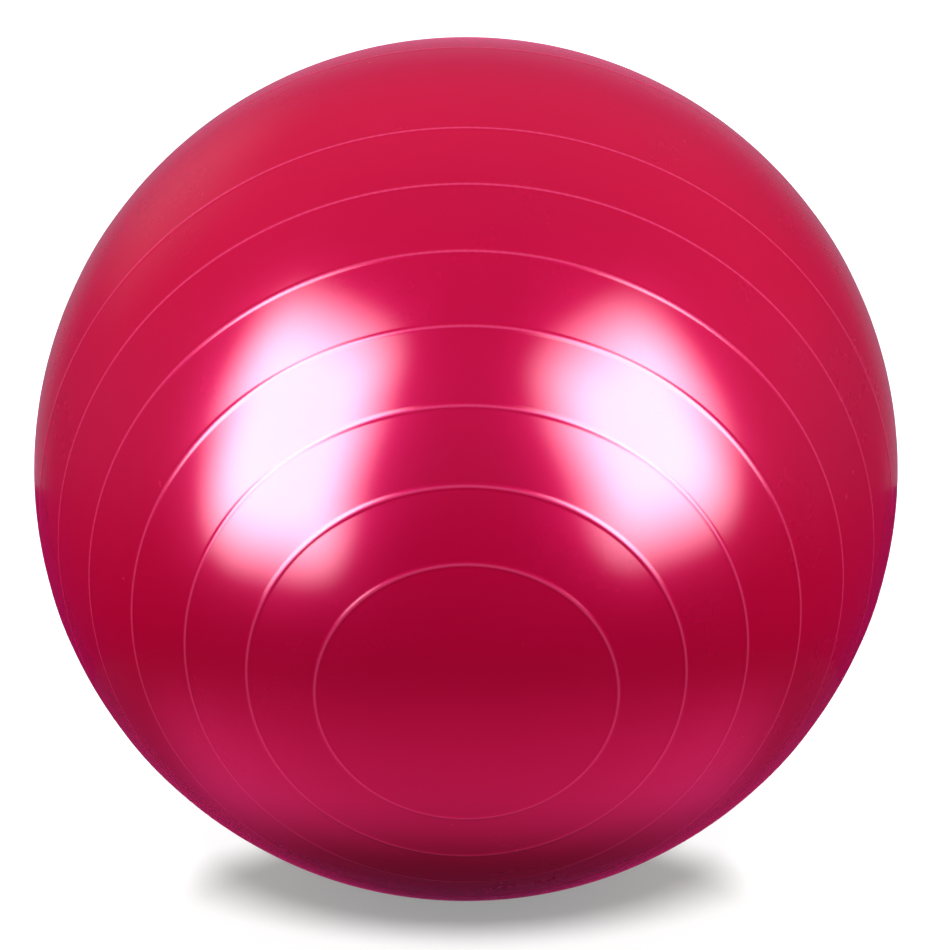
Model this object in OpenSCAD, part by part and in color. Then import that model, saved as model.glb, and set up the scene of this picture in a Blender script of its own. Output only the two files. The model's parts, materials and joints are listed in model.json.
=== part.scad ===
// Exercise ball: one moulded skin with raised rings, a valve seat bonded in it, and a push-in plug.
// The origin is the middle of the flat on which the ball rests, with +Z up.
// The rings, the seat and the plug share one axis through the ball's middle, which leans back and up.

/* [Ball] */
// Diameter of the inflated ball over its plain bands
ball_d = 650; // [450:10:850]
// Thickness of the inflated skin
skin_t = 0.9; // [0.6:0.1:2]
// Diameter of the flat that the ball's own weight presses against the floor
rest_flat_d = 68; // [40:1:80]
// Angle of the valve's axis above the horizontal
axis_rise = 21; // [0:1:45]

/* [Moulded rings] */
// Rings on each half, between the pole and the parting ring
ring_count = 7; // [1:1:8]
// Angle from the pole to the first ring
first_ring = 16.6; // [12:0.1:20]
// Angle from the first ring to the second
ring_pitch = 8.15; // [6:0.05:8.2]
// How much each gap between rings is wider than the one before
ring_growth = 0.17; // [0:0.01:0.2]
// Width of a ring at its foot
ring_w = 4.4; // [2:0.1:8]
// Height of a ring above the skin
ring_h = 0.7; // [0.3:0.1:1.2]

/* [Valve seat] */
// Diameter of the seat where it fills the hole in the skin
seat_d = 24; // [20:0.5:30]
// Depth from the skin's surface to the seat's inner end
seat_depth = 26; // [24:1:40]
// Diameter of the flange that is bonded under the skin
flange_d = 44; // [34:1:60]
// Thickness of that flange
flange_t = 1.6; // [1:0.1:3]
// Diameter of the bore for the plug
bore_d = 6.5; // [5:0.1:9]
// Diameter of the recess for the plug's head
recess_d = 15.4; // [12:0.1:18]
// Depth of that recess below the skin's surface
recess_depth = 2.4; // [1.5:0.1:4]
// Diameter of the raised collar on the skin round the valve
collar_d = 36; // [34:1:60]

/* [Valve plug] */
// Diameter of the plug's head
head_d = 14.8; // [10:0.1:15]
// Thickness of the head
head_t = 1.9; // [1:0.1:1.9]
// Length of the shank below the head
shank_len = 20; // [18:1:21]
// Diameter of the shank between its sealing rings
shank_d = 5.2; // [3.5:0.1:5.5]
// Number of sealing rings on the shank
seal_count = 3; // [1:1:4]
// Radial clearance of the sealing rings in the bore
seal_clearance = 0.05; // [0.02:0.01:0.1]

/* [Hidden] */
$fn = 120;

skin_r = ball_d / 2;
flat_r = rest_flat_d / 2;
// The flat lies this far below the ball's middle
centre_h = sqrt(skin_r * skin_r - flat_r * flat_r);

// A ring's outer face is a round of this radius, sunk so that only its crown stands proud
ring_r = (ring_w * ring_w / 4 + ring_h * ring_h) / (2 * ring_h);
ring_sink = ring_r - ring_h;
parting_ring = 90;
function ring_angle(k) = first_ring + k * ring_pitch + ring_growth * k * (k - 1) / 2;
half_rings = [for (k = [0 : ring_count - 1]) ring_angle(k)];
all_rings = concat(half_rings, [parting_ring], [for (a = half_rings) 180 - a]);
collar_angle = asin(collar_d / 2 / skin_r);

// Heights along the valve's axis, from the ball's middle
recess_floor = skin_r - recess_depth;
seat_end = skin_r - seat_depth;
seal_r = bore_d / 2 - seal_clearance;
// Length of a sealing ring, and the distance from one ring to the next
seal_len = 2;
seal_pitch = 4.5;
// Height and width of the bevel round the head
bevel_h = 0.5;
bevel_w = 1;
// The tapered tip
tip_len = 3;
tip_r = 1.9;
// The moulding core, from the tip up
core_r = 1.2;
core_len = 14;
// Radius of the fingernail notch beside the plug's head
notch_r = 1.8;

// Cuts cross the surfaces that they cut by this much
over = 1;
// A block or cylinder that reaches past the whole ball
far = 2 * ball_d;

// Puts what is drawn round the ball's middle, with the valve's axis along +Z, into its place
module placed() {
    translate([0, 0, centre_h]) rotate([axis_rise - 90, 0, 0]) children();
}

// Keeps only what lies above a height, in the ball's resting place
module above(height) {
    intersection() {
        children();
        translate([-far / 2, -far / 2, height]) cube(far);
    }
}

// One raised ring, at an angle from the pole
module ring(angle) {
    rotate_extrude()
        translate([(skin_r - ring_sink) * sin(angle), (skin_r - ring_sink) * cos(angle)])
            circle(r = ring_r);
}

module ball_skin() {
    color([0.78, 0.05, 0.25]) difference() {
        above(0) placed() difference() {
            union() {
                sphere(r = skin_r);
                for (angle = all_rings) ring(angle);
                ring(collar_angle);
            }
            translate([0, 0, seat_end]) cylinder(d = seat_d, h = far);
        }
        // The air space, with its own flat a skin's thickness above the floor
        above(skin_t) placed() sphere(r = skin_r - skin_t);
    }
}

// Half of the seat's section, to the right of the axis
module seat_section() {
    difference() {
        union() {
            // The sleeve, flush with the skin's surface
            intersection() {
                circle(r = skin_r);
                translate([bore_d / 2, seat_end]) square([(seat_d - bore_d) / 2, seat_depth + over]);
            }
            // The flange, against the skin's inner face
            intersection() {
                difference() {
                    circle(r = skin_r - skin_t);
                    circle(r = skin_r - skin_t - flange_t);
                }
                translate([bore_d / 2, 0]) square([(flange_d - bore_d) / 2, far]);
            }
        }
        translate([0, recess_floor]) square([recess_d / 2, recess_depth + over]);
    }
}

module valve_seat() {
    color([0.7, 0.04, 0.22]) placed() difference() {
        rotate_extrude() seat_section();
        translate([recess_d / 2, 0, recess_floor]) cylinder(r = notch_r, h = recess_depth + over);
    }
}

module valve_plug() {
    color([0.93, 0.92, 0.9]) placed() translate([0, 0, recess_floor]) difference() {
        union() {
            // The head, with a bevelled rim
            cylinder(d = head_d, h = head_t - bevel_h);
            translate([0, 0, head_t - bevel_h])
                cylinder(d1 = head_d, d2 = head_d - 2 * bevel_w, h = bevel_h);
            // The shank, its sealing rings and its tip
            translate([0, 0, tip_len - shank_len]) cylinder(d = shank_d, h = shank_len - tip_len);
            for (k = [0 : seal_count - 1])
                translate([0, 0, -seal_pitch * (k + 0.5) - seal_len / 2])
                    cylinder(r = seal_r, h = seal_len);
            translate([0, 0, -shank_len]) cylinder(r1 = tip_r, r2 = shank_d / 2, h = tip_len);
        }
        translate([0, 0, -shank_len - over]) cylinder(r = core_r, h = core_len + over);
    }
}

ball_skin();
valve_seat();
valve_plug();
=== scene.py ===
"""Exercise ball: the finish of its moulded skin, valve seat and plug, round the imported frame."""
import json
import math

import bmesh
import bpy
from mathutils import Matrix, Vector


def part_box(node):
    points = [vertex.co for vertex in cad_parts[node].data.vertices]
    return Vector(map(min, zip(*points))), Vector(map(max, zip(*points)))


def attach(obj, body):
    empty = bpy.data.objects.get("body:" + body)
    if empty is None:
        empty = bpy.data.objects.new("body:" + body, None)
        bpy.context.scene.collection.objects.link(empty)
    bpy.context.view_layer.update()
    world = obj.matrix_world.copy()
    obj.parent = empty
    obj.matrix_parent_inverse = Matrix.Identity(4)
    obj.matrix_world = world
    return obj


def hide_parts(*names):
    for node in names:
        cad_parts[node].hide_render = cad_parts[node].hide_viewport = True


MM = 0.001

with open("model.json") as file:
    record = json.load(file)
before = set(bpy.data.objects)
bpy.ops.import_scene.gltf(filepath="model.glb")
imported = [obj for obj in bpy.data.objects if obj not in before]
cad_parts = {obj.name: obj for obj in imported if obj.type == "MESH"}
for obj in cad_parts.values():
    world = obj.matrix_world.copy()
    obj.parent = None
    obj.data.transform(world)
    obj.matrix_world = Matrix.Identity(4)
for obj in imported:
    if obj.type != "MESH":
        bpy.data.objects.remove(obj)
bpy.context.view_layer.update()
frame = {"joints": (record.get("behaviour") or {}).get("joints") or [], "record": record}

# Driving sizes, in millimetres unless the name says otherwise
RING_COUNT = 7
FIRST_RING = math.radians(16.6)
RING_PITCH = math.radians(8.15)
RING_GROWTH = math.radians(0.17)
PARTING_RING = math.radians(90)
RING_W = 5.0
RING_H = 0.22
COLLAR_R = 18
SKIN_T = 0.9
SEAT_R = 12
SEAT_DEPTH = 26
FLANGE_R = 22
FLANGE_T = 1.6
BORE_R = 3.25
RECESS_R = 7.7
RECESS_DEPTH = 2.4
NOTCH_R = 1.8
HEAD_R = 7.4
HEAD_T = 1.9
SHANK_LEN = 20
SHANK_R = 2.6
SEAL_R = 3.2
SEAL_PITCH = 4.5
SEAL_COUNT = 3
TIP_R = 1.9
TIP_LEN = 3
CORE_R = 1.2
CORE_LEN = 14
# Half a sealing ring's length, and the slope at each of its ends
SEAL_HALF = 1
SEAL_SLOPE = 0.4
# The shallow dish in the plug's head, the slope of its wall, and the bevel round the head
DISH_R = 3.2
DISH_DEPTH = 0.5
DISH_SLOPE = 0.6
BEVEL_W = 1
BEVEL_H = 0.5
# Rounding of the seat's and the plug's edges
SEAT_ROUND = 0.35
PLUG_ROUND = 0.2
# How finely the skin is made: angle of a plain step, and of the thin step at each foot of a ring
PLAIN_STEP = math.radians(1.6)
RING_EASE = math.radians(0.04)
# Steps across a ring, round the axis, and along the inner wall
RING_STEPS = 8
TURN_STEPS = 280
INNER_STEPS = 60
# Steps round the axis on the seat and on the plug
SEAT_STEPS = 128
PLUG_STEPS = 96
# Height over which the skin eases into the flat that the ball's weight presses in it
EASE_H = 0.8
# Painted highlight along each ring: the skin is paler from this height above the bands, up to this much
# at its crest
HIGHLIGHT_FROM = 0.12
CREST_HIGHLIGHT = 0.8
# Radius in metres of the dim room that the glossy skin mirrors
ROOM_R = 8

# The ball's middle, radius and valve axis, from the frame
crown = next(m for m in frame["record"]["mounts"] if m["name"] == "seat_crown")
pull = next(j for j in frame["joints"] if j["name"] == "plug_pull")
skin_low, skin_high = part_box("ball_skin")
BALL_R = (skin_high.y - skin_low.y) / 2 / MM
ball_middle = Vector(crown["pos_m"]) - Vector((0, 0, BALL_R * MM))
valve_axis = Vector(pull["axis"]).normalized()

# A piece is turned about Z, in millimetres from the ball's middle, then put into place by this
in_place = (
    Matrix.Translation(ball_middle)
    @ valve_axis.to_track_quat("Z", "Y").to_matrix().to_4x4()
    @ Matrix.Scale(MM, 4)
)


# ---------------------------------------------------------------- shapes

def on_sphere(radius, angle):
    """A point of a section, at an angle from the valve's axis."""
    return Vector((radius * math.sin(angle), 0, radius * math.cos(angle)))


def ring_angles():
    """Angles of every moulded ring from the valve's pole, and of the collar round the valve."""
    half = [
        FIRST_RING + k * RING_PITCH + RING_GROWTH * k * (k - 1) / 2
        for k in range(RING_COUNT)
    ]
    far_half = [math.pi - a for a in reversed(half)]
    return [math.asin(COLLAR_R / BALL_R), *half, PARTING_RING, *far_half]


def swept(bm, start, angle, steps):
    """Carries a vertex round the ball's middle, away from the pole, and returns where it ends."""
    made = bmesh.ops.spin(
        bm, geom=[start], cent=(0, 0, 0), axis=(0, 1, 0), dvec=(0, 0, 0),
        angle=angle, steps=steps, use_merge=False, use_normal_flip=False, use_duplicate=False,
    )
    return next(g for g in made["geom_last"] if isinstance(g, bmesh.types.BMVert))


def skin_section(bm):
    """The outside of the skin from the valve hole to the far pole, with each ring as a soft wave."""
    half_w = RING_W / 2 / BALL_R
    at = math.asin(SEAT_R / BALL_R)
    point = bm.verts.new(on_sphere(BALL_R, at))
    for ring in ring_angles():
        gap = ring - half_w - RING_EASE - at
        point = swept(bm, point, gap, max(1, round(gap / PLAIN_STEP)))
        point = swept(bm, point, RING_EASE, 1)
        point = swept(bm, point, 2 * half_w, RING_STEPS)
        point = swept(bm, point, RING_EASE, 1)
        at = ring + half_w + RING_EASE
    gap = math.pi - at
    swept(bm, point, gap, round(gap / PLAIN_STEP))
    for v in bm.verts:
        angle = math.atan2(v.co.x, v.co.z)
        away = min(abs(angle - ring) for ring in ring_angles())
        if away < half_w:
            wave = (1 + math.cos(math.pi * away / half_w)) / 2
            v.co += v.co.normalized() * RING_H * wave


def turned(bm, steps):
    """Spins a drawn section a full turn about the axis, and closes it where it meets the axis."""
    bmesh.ops.spin(
        bm, geom=bm.verts[:] + bm.edges[:], cent=(0, 0, 0), axis=(0, 0, 1), dvec=(0, 0, 0),
        angle=math.tau, steps=steps, use_merge=True, use_normal_flip=False, use_duplicate=False,
    )
    bmesh.ops.remove_doubles(bm, verts=bm.verts, dist=0.0005)


def drawn(bm, corners):
    """Draws a section as straight lines from corner to corner."""
    points = [bm.verts.new((x, 0, z)) for x, z in corners]
    for pair in zip(points, points[1:]):
        bm.edges.new(pair)
    return points


def finished(bm, name, body, node, material):
    """Makes the piece's object in the shared frame, in place of its CAD node."""
    bmesh.ops.recalc_face_normals(bm, faces=bm.faces)
    bm.transform(in_place)
    mesh = bpy.data.meshes.new(name)
    bm.to_mesh(mesh)
    bm.free()
    mesh.shade_smooth()
    mesh.materials.append(material)
    piece = bpy.data.objects.new(name, mesh)
    bpy.context.scene.collection.objects.link(piece)
    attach(piece, body)
    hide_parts(node)
    return piece


def press_foot(bm, floor_z):
    """Eases every point near or under a level up to it, as the floor presses a soft wall."""
    up = in_place.to_3x3().inverted() @ Vector((0, 0, MM))
    up.normalize()
    level = floor_z / MM - ball_middle.z / MM
    for v in bm.verts:
        height = v.co.dot(up) - level
        if height < -EASE_H:
            eased = 0
        elif height < EASE_H:
            eased = (height + EASE_H) ** 2 / (4 * EASE_H)
        else:
            continue
        v.co += up * (eased - height)


def moulded_skin(material):
    """One closed shell: the ringed outside, the plain inside, and the wall of the valve hole."""
    bm = bmesh.new()
    skin_section(bm)
    turned(bm, TURN_STEPS)
    press_foot(bm, 0)
    inner_r = BALL_R - SKIN_T
    hole = math.asin(SEAT_R / inner_r)
    inner = bmesh.new()
    swept(inner, inner.verts.new(on_sphere(inner_r, hole)), math.pi - hole, INNER_STEPS)
    turned(inner, TURN_STEPS)
    press_foot(inner, SKIN_T * MM)
    wall = bpy.data.meshes.new("inner wall")
    inner.to_mesh(wall)
    inner.free()
    bm.from_mesh(wall)
    bpy.data.meshes.remove(wall)
    rims = [e for e in bm.edges if e.is_boundary]
    bmesh.ops.bridge_loops(bm, edges=rims)
    return finished(bm, "moulded_skin", "ball", "ball_skin", material)


def notched(piece):
    """Cuts the fingernail notch in the recess's edge, and rounds the seat's edges."""
    bm = bmesh.new()
    bmesh.ops.create_cone(
        bm, cap_ends=True, segments=32, radius1=NOTCH_R, radius2=NOTCH_R, depth=2 * RECESS_DEPTH,
    )
    bmesh.ops.translate(bm, verts=bm.verts, vec=(RECESS_R, 0, BALL_R))
    bm.transform(in_place)
    mesh = bpy.data.meshes.new("notch cutter")
    bm.to_mesh(mesh)
    bm.free()
    cutter = bpy.data.objects.new("notch cutter", mesh)
    bpy.context.scene.collection.objects.link(cutter)
    cut = piece.modifiers.new("notch", "BOOLEAN")
    cut.object = cutter
    cut.operation = "DIFFERENCE"
    cut.solver = "EXACT"
    soften(piece, SEAT_ROUND)
    bpy.context.view_layer.update()
    evaluated = piece.evaluated_get(bpy.context.evaluated_depsgraph_get())
    done = bpy.data.meshes.new_from_object(evaluated)
    piece.modifiers.clear()
    piece.data = done
    bpy.data.objects.remove(cutter)
    return piece


def soften(piece, width):
    """Rounds the piece's sharp edges by a width in millimetres."""
    bevel = piece.modifiers.new("rounded edges", "BEVEL")
    bevel.width = width * MM
    bevel.segments = 3
    bevel.limit_method = "ANGLE"
    bevel.angle_limit = math.radians(35)
    bevel.use_clamp_overlap = True


def valve_seat(material):
    """The sleeve and flange, with the recess and the bore."""
    top_r = math.sqrt(BALL_R**2 - SEAT_R**2)
    lip_z = math.sqrt(BALL_R**2 - RECESS_R**2)
    under = BALL_R - SKIN_T
    flange_top = math.sqrt(under**2 - FLANGE_R**2)
    seat_under = math.sqrt(under**2 - SEAT_R**2)
    lower = under - FLANGE_T
    flange_low = math.sqrt(lower**2 - FLANGE_R**2)
    sleeve_low = math.sqrt(lower**2 - SEAT_R**2)
    recess_z = BALL_R - RECESS_DEPTH
    end_z = BALL_R - SEAT_DEPTH
    bm = bmesh.new()
    points = drawn(bm, [
        (RECESS_R, lip_z), (SEAT_R, top_r), (SEAT_R, seat_under), (FLANGE_R, flange_top),
        (FLANGE_R, flange_low), (SEAT_R, sleeve_low), (SEAT_R, end_z), (BORE_R, end_z),
        (BORE_R, recess_z), (RECESS_R, recess_z),
    ])
    bm.edges.new((points[-1], points[0]))
    turned(bm, SEAT_STEPS)
    piece = finished(bm, "bonded_valve_seat", "ball", "valve_seat", material)
    return notched(piece)


def valve_plug(material):
    """The push-in stopper: head, shank with sealing rings, tapered tip and hollow core."""
    base = BALL_R - RECESS_DEPTH
    top = base + HEAD_T
    corners = [
        (0, top - DISH_DEPTH), (DISH_R - DISH_SLOPE, top - DISH_DEPTH), (DISH_R, top),
        (HEAD_R - BEVEL_W, top), (HEAD_R, top - BEVEL_H), (HEAD_R, base), (SHANK_R, base),
    ]
    for k in range(SEAL_COUNT):
        middle = base - SEAL_PITCH * (k + 0.5)
        corners += [
            (SHANK_R, middle + SEAL_HALF), (SEAL_R, middle + SEAL_HALF - SEAL_SLOPE),
            (SEAL_R, middle - SEAL_HALF + SEAL_SLOPE), (SHANK_R, middle - SEAL_HALF),
        ]
    tip = base - SHANK_LEN
    corners += [
        (SHANK_R, tip + TIP_LEN), (TIP_R, tip), (CORE_R, tip), (CORE_R, tip + CORE_LEN),
        (0, tip + CORE_LEN),
    ]
    bm = bmesh.new()
    drawn(bm, corners)
    turned(bm, PLUG_STEPS)
    piece = finished(bm, "push_in_plug", "plug", "valve_plug", material)
    soften(piece, PLUG_ROUND)
    return piece


# ---------------------------------------------------------------- finishes

def finish_nodes(name):
    """A new material, its tree, shader and coordinates, and a function that adds nodes."""
    material = bpy.data.materials.new(name)
    material.use_nodes = True
    tree = material.node_tree
    shader = tree.nodes["Principled BSDF"]
    place = tree.nodes.new("ShaderNodeTexCoord")

    def add(kind, **values):
        node = tree.nodes.new(kind)
        for key, value in values.items():
            setattr(node, key, value)
        return node

    return material, tree, shader, place, add


def grain(tree, place, add, scale, detail=2.0, rough=0.5):
    """Noise on the piece's own coordinates: scale is in cycles a metre."""
    noise = add("ShaderNodeTexNoise")
    noise.inputs["Scale"].default_value = scale
    noise.inputs["Detail"].default_value = detail
    noise.inputs["Roughness"].default_value = rough
    tree.links.new(place.outputs["Object"], noise.inputs["Vector"])
    return noise.outputs["Fac"]


def spread(tree, add, source, low, high, out_low, out_high):
    """Stretches a source's values from one range to another."""
    node = add("ShaderNodeMapRange")
    for name, value in (("From Min", low), ("From Max", high), ("To Min", out_low), ("To Max", out_high)):
        node.inputs[name].default_value = value
    tree.links.new(source, node.inputs["Value"])
    return node.outputs["Result"]


def two_tone(tree, add, source, first, second):
    """A colour between two, by a source from 0 to 1."""
    mix = add("ShaderNodeMix", data_type="RGBA")
    tree.links.new(source, mix.inputs["Factor"])
    mix.inputs["A"].default_value = (*first, 1)
    mix.inputs["B"].default_value = (*second, 1)
    return mix.outputs["Result"]


def relief(tree, add, source, strength, distance, below=None):
    """Fine surface relief from a source."""
    bump = add("ShaderNodeBump")
    bump.inputs["Strength"].default_value = strength
    bump.inputs["Distance"].default_value = distance
    tree.links.new(source, bump.inputs["Height"])
    if below is not None:
        tree.links.new(below, bump.inputs["Normal"])
    return bump.outputs["Normal"]


def blended(tree, add, source, first, second):
    """A linked colour that gives way to a plain one as a source rises to 1."""
    mix = add("ShaderNodeMix", data_type="RGBA")
    tree.links.new(source, mix.inputs["Factor"])
    tree.links.new(first, mix.inputs["A"])
    mix.inputs["B"].default_value = (*second, 1)
    return mix.outputs["Result"]


def painted_ring_highlight(tree, place, add):
    """Painted highlight on the rings: 0 on the bands, growing with a point's height above the plain ball
    to its full strength on a crest.
    """
    from_middle = add("ShaderNodeVectorMath", operation="DISTANCE")
    tree.links.new(place.outputs["Object"], from_middle.inputs[0])
    from_middle.inputs[1].default_value = ball_middle
    plain = BALL_R * MM
    proud = plain + RING_H * MM
    start = plain + HIGHLIGHT_FROM * MM
    return spread(tree, add, from_middle.outputs["Value"], start, proud, 0, CREST_HIGHLIGHT)


def pearl_pvc():
    """Soft crimson PVC with pearl pigment under a satin surface."""
    material, tree, shader, place, add = finish_nodes("crimson pearl PVC")
    flow = grain(tree, place, add, 5, 3, 0.55)
    flow = spread(tree, add, flow, 0.35, 0.65, 0, 1)
    body = two_tone(tree, add, flow, (0.565, 0.0016, 0.042), (0.600, 0.0020, 0.047))
    # The paler colour on the ring crests is a painted highlight, where the rings would catch the lamps.
    painted_glint = painted_ring_highlight(tree, place, add)
    colour = blended(tree, add, painted_glint, body, (0.88, 0.06, 0.20))
    tree.links.new(colour, shader.inputs["Base Color"])
    cloudy = grain(tree, place, add, 14, 4, 0.6)
    satin = spread(tree, add, cloudy, 0.3, 0.7, 0.25, 0.28)
    tree.links.new(satin, shader.inputs["Roughness"])
    peel = grain(tree, place, add, 420, 2, 0.5)
    normal = relief(tree, add, peel, 0.06, 0.0002)
    tree.links.new(normal, shader.inputs["Normal"])
    shader.inputs["Metallic"].default_value = 0.11
    shader.inputs["IOR"].default_value = 1.5
    shader.inputs["Specular Tint"].default_value = (0.55, 0.01, 0.52, 1)
    shader.inputs["Sheen Weight"].default_value = 0.5
    shader.inputs["Sheen Roughness"].default_value = 0.32
    shader.inputs["Sheen Tint"].default_value = (1.0, 0.02, 0.32, 1)
    shader.inputs["Coat Weight"].default_value = 1.0
    shader.inputs["Coat Roughness"].default_value = 0.115
    shader.inputs["Coat IOR"].default_value = 1.5
    return material


def seat_pvc():
    """The same PVC, unpearled and a little darker, moulded with a fine matt grain."""
    material, tree, shader, place, add = finish_nodes("crimson seat PVC")
    tone = grain(tree, place, add, 90, 3, 0.6)
    colour = two_tone(tree, add, tone, (0.30, 0.006, 0.045), (0.36, 0.008, 0.055))
    tree.links.new(colour, shader.inputs["Base Color"])
    satin = spread(tree, add, grain(tree, place, add, 260, 2, 0.5), 0.3, 0.7, 0.42, 0.52)
    tree.links.new(satin, shader.inputs["Roughness"])
    pores = grain(tree, place, add, 1500, 2, 0.5)
    tree.links.new(relief(tree, add, pores, 0.2, 0.0001), shader.inputs["Normal"])
    shader.inputs["IOR"].default_value = 1.5
    return material


def plug_plastic():
    """Hard off-white plastic with a faint moulded grain."""
    material, tree, shader, place, add = finish_nodes("off-white plug plastic")
    tone = grain(tree, place, add, 70, 3, 0.6)
    colour = two_tone(tree, add, tone, (0.74, 0.72, 0.66), (0.82, 0.80, 0.75))
    tree.links.new(colour, shader.inputs["Base Color"])
    satin = spread(tree, add, grain(tree, place, add, 300, 2, 0.5), 0.3, 0.7, 0.28, 0.38)
    tree.links.new(satin, shader.inputs["Roughness"])
    pores = grain(tree, place, add, 1800, 2, 0.5)
    tree.links.new(relief(tree, add, pores, 0.15, 0.0001), shader.inputs["Normal"])
    shader.inputs["IOR"].default_value = 1.49
    shader.inputs["Subsurface Weight"].default_value = 0.15
    shader.inputs["Subsurface Scale"].default_value = 0.002
    return material


# ---------------------------------------------------------------- studio

def toward(azimuth, elevation):
    """Unit direction from the ball: azimuth 0 is the front, 90 the right, elevation above level."""
    a, e = math.radians(azimuth), math.radians(elevation)
    return Vector((math.sin(a) * math.cos(e), -math.cos(a) * math.cos(e), math.sin(e)))


def softbox(name, azimuth, elevation, distance, size, radiance, roll=0, shift=(0, 0),
            soft_edge=None, reflected_only=True, colour=(1, 1, 1)):
    """A rectangular light that faces the ball's middle, and can fade towards its rounded edges."""
    light = bpy.data.lights.new(name, "AREA")
    light.shape = "RECTANGLE"
    light.size, light.size_y = size
    light.energy = radiance * math.pi * size[0] * size[1]
    light.color = colour
    if soft_edge:
        fade_edges(light, *soft_edge)
    lamp = bpy.data.objects.new(name, light)
    out = toward(azimuth, elevation)
    lamp.rotation_mode = "QUATERNION"
    facing = out.to_track_quat("Z", "Y")
    lamp.rotation_quaternion = facing @ Matrix.Rotation(math.radians(roll), 4, "Z").to_quaternion()
    lamp.location = ball_middle + out * distance + facing @ Vector((*shift, 0))
    lamp.visible_camera = False
    lamp.visible_diffuse = not reflected_only
    bpy.context.scene.collection.objects.link(lamp)
    return lamp


def fade_edges(light, power, core):
    """Makes a light bright in its middle and dark at its edge, with round corners."""
    light.use_nodes = True
    tree = light.node_tree
    emission = tree.nodes["Emission"]
    spot = tree.nodes.new("ShaderNodeNewGeometry")
    split = tree.nodes.new("ShaderNodeSeparateXYZ")
    tree.links.new(spot.outputs["Parametric"], split.inputs["Vector"])

    def step(operation, first, second=0.0):
        node = tree.nodes.new("ShaderNodeMath")
        node.operation = operation
        for socket, value in zip(node.inputs, (first, second)):
            if isinstance(value, (int, float)):
                socket.default_value = value
            else:
                tree.links.new(value, socket)
        return node.outputs[0]

    parts = []
    for axis in ("X", "Y"):
        off = step("ABSOLUTE", step("SUBTRACT", split.outputs[axis], 0.5))
        parts.append(step("POWER", step("MULTIPLY", off, 2.0), power))
    away = step("POWER", step("ADD", *parts), 1 / power)
    fade = tree.nodes.new("ShaderNodeMapRange")
    fade.interpolation_type = "SMOOTHSTEP"
    for name, value in (("From Min", 1.0), ("From Max", core), ("To Min", 0.0), ("To Max", 1.0)):
        fade.inputs[name].default_value = value
    tree.links.new(away, fade.inputs["Value"])
    tree.links.new(fade.outputs["Result"], emission.inputs["Strength"])


def plain_sheet(name, radius, height, albedo, glow=0.0):
    """A wide flat disc that is part of the studio."""
    bm = bmesh.new()
    bmesh.ops.create_circle(bm, cap_ends=True, segments=96, radius=radius)
    bmesh.ops.translate(bm, verts=bm.verts, vec=(0, 0, height))
    mesh = bpy.data.meshes.new(name)
    bm.to_mesh(mesh)
    bm.free()
    material = bpy.data.materials.new(name)
    material.use_nodes = True
    shader = material.node_tree.nodes["Principled BSDF"]
    shader.inputs["Base Color"].default_value = (*albedo, 1)
    shader.inputs["Roughness"].default_value = 1.0
    shader.inputs["Specular IOR Level"].default_value = 0.0
    shader.inputs["Emission Color"].default_value = (1, 1, 1, 1)
    shader.inputs["Emission Strength"].default_value = glow
    mesh.materials.append(material)
    sheet = bpy.data.objects.new(name, mesh)
    bpy.context.scene.collection.objects.link(sheet)
    return sheet


def painted_floor_reflection():
    """A glowing card that only the ball's gloss sees: a painted reflection of the floor, a soft lilac
    band of painted light in front of a painted contact shade.
    """
    card = plain_sheet("painted floor reflection", 0.6, -0.0005, (0, 0, 0))
    card.visible_camera = False
    card.visible_diffuse = False
    material = card.data.materials[0]
    tree = material.node_tree
    shader = tree.nodes["Principled BSDF"]
    place = tree.nodes.new("ShaderNodeTexCoord")
    away = tree.nodes.new("ShaderNodeVectorMath")
    away.operation = "LENGTH"
    tree.links.new(place.outputs["Object"], away.inputs[0])
    split = tree.nodes.new("ShaderNodeSeparateXYZ")
    tree.links.new(place.outputs["Object"], split.inputs["Vector"])

    def eased(source, start, end, low, high):
        part = tree.nodes.new("ShaderNodeMapRange")
        part.interpolation_type = "SMOOTHSTEP"
        for name, value in (("From Min", start), ("From Max", end), ("To Min", low), ("To Max", high)):
            part.inputs[name].default_value = value
        tree.links.new(source, part.inputs["Value"])
        return part.outputs["Result"]

    def times(first, second):
        node = tree.nodes.new("ShaderNodeMath")
        node.operation = "MULTIPLY"
        tree.links.new(first, node.inputs[0])
        tree.links.new(second, node.inputs[1])
        return node.outputs["Value"]

    # Painted reflection: dark painted shade round the contact, lilac painted light on the floor in front,
    # fading further off.
    near = eased(away.outputs["Value"], 0.17, 0.29, 0, 1)
    far = eased(away.outputs["Value"], 0.30, 0.58, 1, 0)
    front = eased(split.outputs["Y"], -0.24, 0.02, 1, 0.03)
    shade = (0.020, 0.014, 0.017, 1)
    painted_lit_floor = (1.5, 0.105, 0.495, 1)
    mix = tree.nodes.new("ShaderNodeMix")
    mix.data_type = "RGBA"
    mix.inputs["A"].default_value = shade
    mix.inputs["B"].default_value = painted_lit_floor
    tree.links.new(times(times(near, far), front), mix.inputs["Factor"])
    tree.links.new(mix.outputs["Result"], shader.inputs["Emission Color"])
    shader.inputs["Emission Strength"].default_value = 1.0


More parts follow.
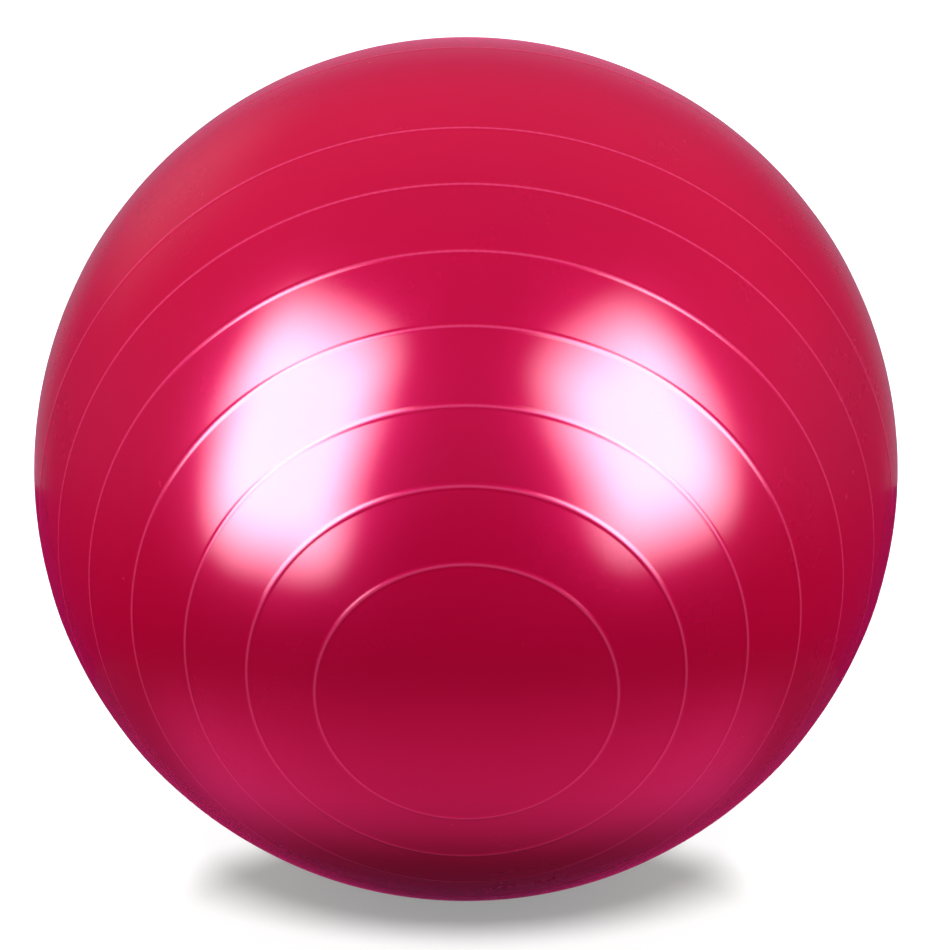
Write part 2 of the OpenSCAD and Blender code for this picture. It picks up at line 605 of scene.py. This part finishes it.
def pale_floor():
    """The floor that the camera sees, the glowing card with the floor's painted reflection and the ground
    that only the ball meets, and two suns.

    The suns light the floor alone. Each casts the ball's shadow away from itself, and where the
    two shadows cross there is a short dark oval at the ball's foot.
    """
    floor = plain_sheet("pale floor", 40, 0, (0.16, 0.16, 0.16), glow=0.30)
    floor.visible_glossy = False
    floor.visible_diffuse = False
    floor.visible_shadow = False
    painted_floor_reflection()
    dark = plain_sheet("dark ground", 40, -0.5, (0.02, 0.002, 0.005))
    dark.visible_camera = False
    lit = bpy.data.collections.new("floor alone")
    lit.objects.link(floor)
    for name, lean in (("front sun", -47), ("back sun", 49)):
        light = bpy.data.lights.new(name, "SUN")
        light.energy = 17
        light.angle = math.radians(19)
        lamp = bpy.data.objects.new(name, light)
        lamp.rotation_euler = (math.radians(-lean), 0, 0)
        lamp.visible_glossy = False
        lamp.light_linking.receiver_collection = lit
        bpy.context.scene.collection.objects.link(lamp)


def pale_room(brightness):
    """Even white light from all round, which the gloss doesn't mirror."""
    world = bpy.data.worlds.new("pale room")
    world.use_nodes = True
    world.node_tree.nodes["Background"].inputs["Color"].default_value = (1, 1, 1, 1)
    world.node_tree.nodes["Background"].inputs["Strength"].default_value = brightness
    world.cycles_visibility.glossy = False
    bpy.context.scene.world = world


def dim_surroundings():
    """What the ball's gloss mirrors besides the lights: a dim room, paler behind and overhead."""
    bm = bmesh.new()
    bmesh.ops.create_icosphere(bm, subdivisions=4, radius=ROOM_R)
    mesh = bpy.data.meshes.new("dim surroundings")
    bm.to_mesh(mesh)
    bm.free()
    material = bpy.data.materials.new("dim surroundings")
    material.use_nodes = True
    tree = material.node_tree
    shader = tree.nodes["Principled BSDF"]
    shader.inputs["Base Color"].default_value = (0, 0, 0, 1)
    shader.inputs["Specular IOR Level"].default_value = 0.0
    shader.inputs["Emission Color"].default_value = (1, 1, 1, 1)
    place = tree.nodes.new("ShaderNodeTexCoord")

    def rise(direction, start, end, most):
        """Glow that grows up to a most, towards one direction."""
        along = tree.nodes.new("ShaderNodeVectorMath")
        along.operation = "DOT_PRODUCT"
        along.inputs[1].default_value = Vector(direction) / ROOM_R
        tree.links.new(place.outputs["Object"], along.inputs[0])
        part = tree.nodes.new("ShaderNodeMapRange")
        part.interpolation_type = "SMOOTHSTEP"
        for name, value in (("From Min", start), ("From Max", end), ("To Min", 0.0), ("To Max", most)):
            part.inputs[name].default_value = value
        tree.links.new(along.outputs["Value"], part.inputs["Value"])
        return part.outputs["Result"]

    both = tree.nodes.new("ShaderNodeMath")
    both.operation = "ADD"
    tree.links.new(rise((0, 1, 0), 0.6, 1.05, 0.22), both.inputs[0])
    tree.links.new(rise((0, 0.3, 0.954), 0.5, 1.0, 0.045), both.inputs[1])
    level = tree.nodes.new("ShaderNodeMath")
    level.operation = "ADD"
    level.inputs[1].default_value = 0.010
    tree.links.new(both.outputs["Value"], level.inputs[0])
    tree.links.new(level.outputs["Value"], shader.inputs["Emission Strength"])
    mesh.materials.append(material)
    room = bpy.data.objects.new("dim surroundings", mesh)
    room.visible_camera = False
    room.visible_diffuse = False
    room.visible_shadow = False
    room.visible_transmission = False
    bpy.context.scene.collection.objects.link(room)


def front_camera():
    """Stands four ball radii away, a little above the ball's middle."""
    distance = 4 * BALL_R * MM
    rise = 5.5
    aside = Vector((0.0066, 0, -0.0045))
    lens = bpy.data.cameras.new("front camera")
    lens.sensor_width = 36
    lens.lens = 63.4
    camera = bpy.data.objects.new("front camera", lens)
    camera.location = ball_middle + toward(0, rise) * distance
    aim = ball_middle + aside
    camera.rotation_mode = "QUATERNION"
    camera.rotation_quaternion = (camera.location - aim).to_track_quat("Z", "Y")
    bpy.context.scene.collection.objects.link(camera)
    bpy.context.scene.camera = camera


def fill_lights(skin):
    """Rose light on the skin's sides and upper back, which the gloss doesn't mirror."""
    skin_alone = bpy.data.collections.new("moulded skin alone")
    skin_alone.objects.link(skin)
    rose = (1, 0.15, 0.5)
    for name, azimuth, elevation, radiance in (
        ("top light", -128, 46, 1.6),
        ("left fill", -104, 6, 5.4),
        ("right fill", 104, 6, 5.6),
    ):
        lamp = softbox(
            name, azimuth, elevation, 2.7, (1.5, 1.5), radiance,
            reflected_only=False, colour=rose,
        )
        lamp.visible_glossy = False
        lamp.light_linking.receiver_collection = skin_alone


front_camera()
skin = moulded_skin(pearl_pvc())
valve_seat(seat_pvc())
valve_plug(plug_plastic())

bpy.context.scene.view_settings.view_transform = "Standard"
pale_room(1.50)
dim_surroundings()
pale_floor()
softbox(
    "left softbox", -45, 14, 1.5, (1.24, 2.02), 21,
    roll=-10, shift=(0.15, -0.09), soft_edge=(4.5, 0.34),
)
softbox(
    "right softbox", 45, 12.5, 1.5, (1.29, 1.78), 21,
    roll=19, shift=(-0.14, -0.02), soft_edge=(3.8, 0.25),
)
softbox("upper left card", -124, 36, 2.5, (2.2, 2.0), 0.16, soft_edge=(3, 0.1))
fill_lights(skin)
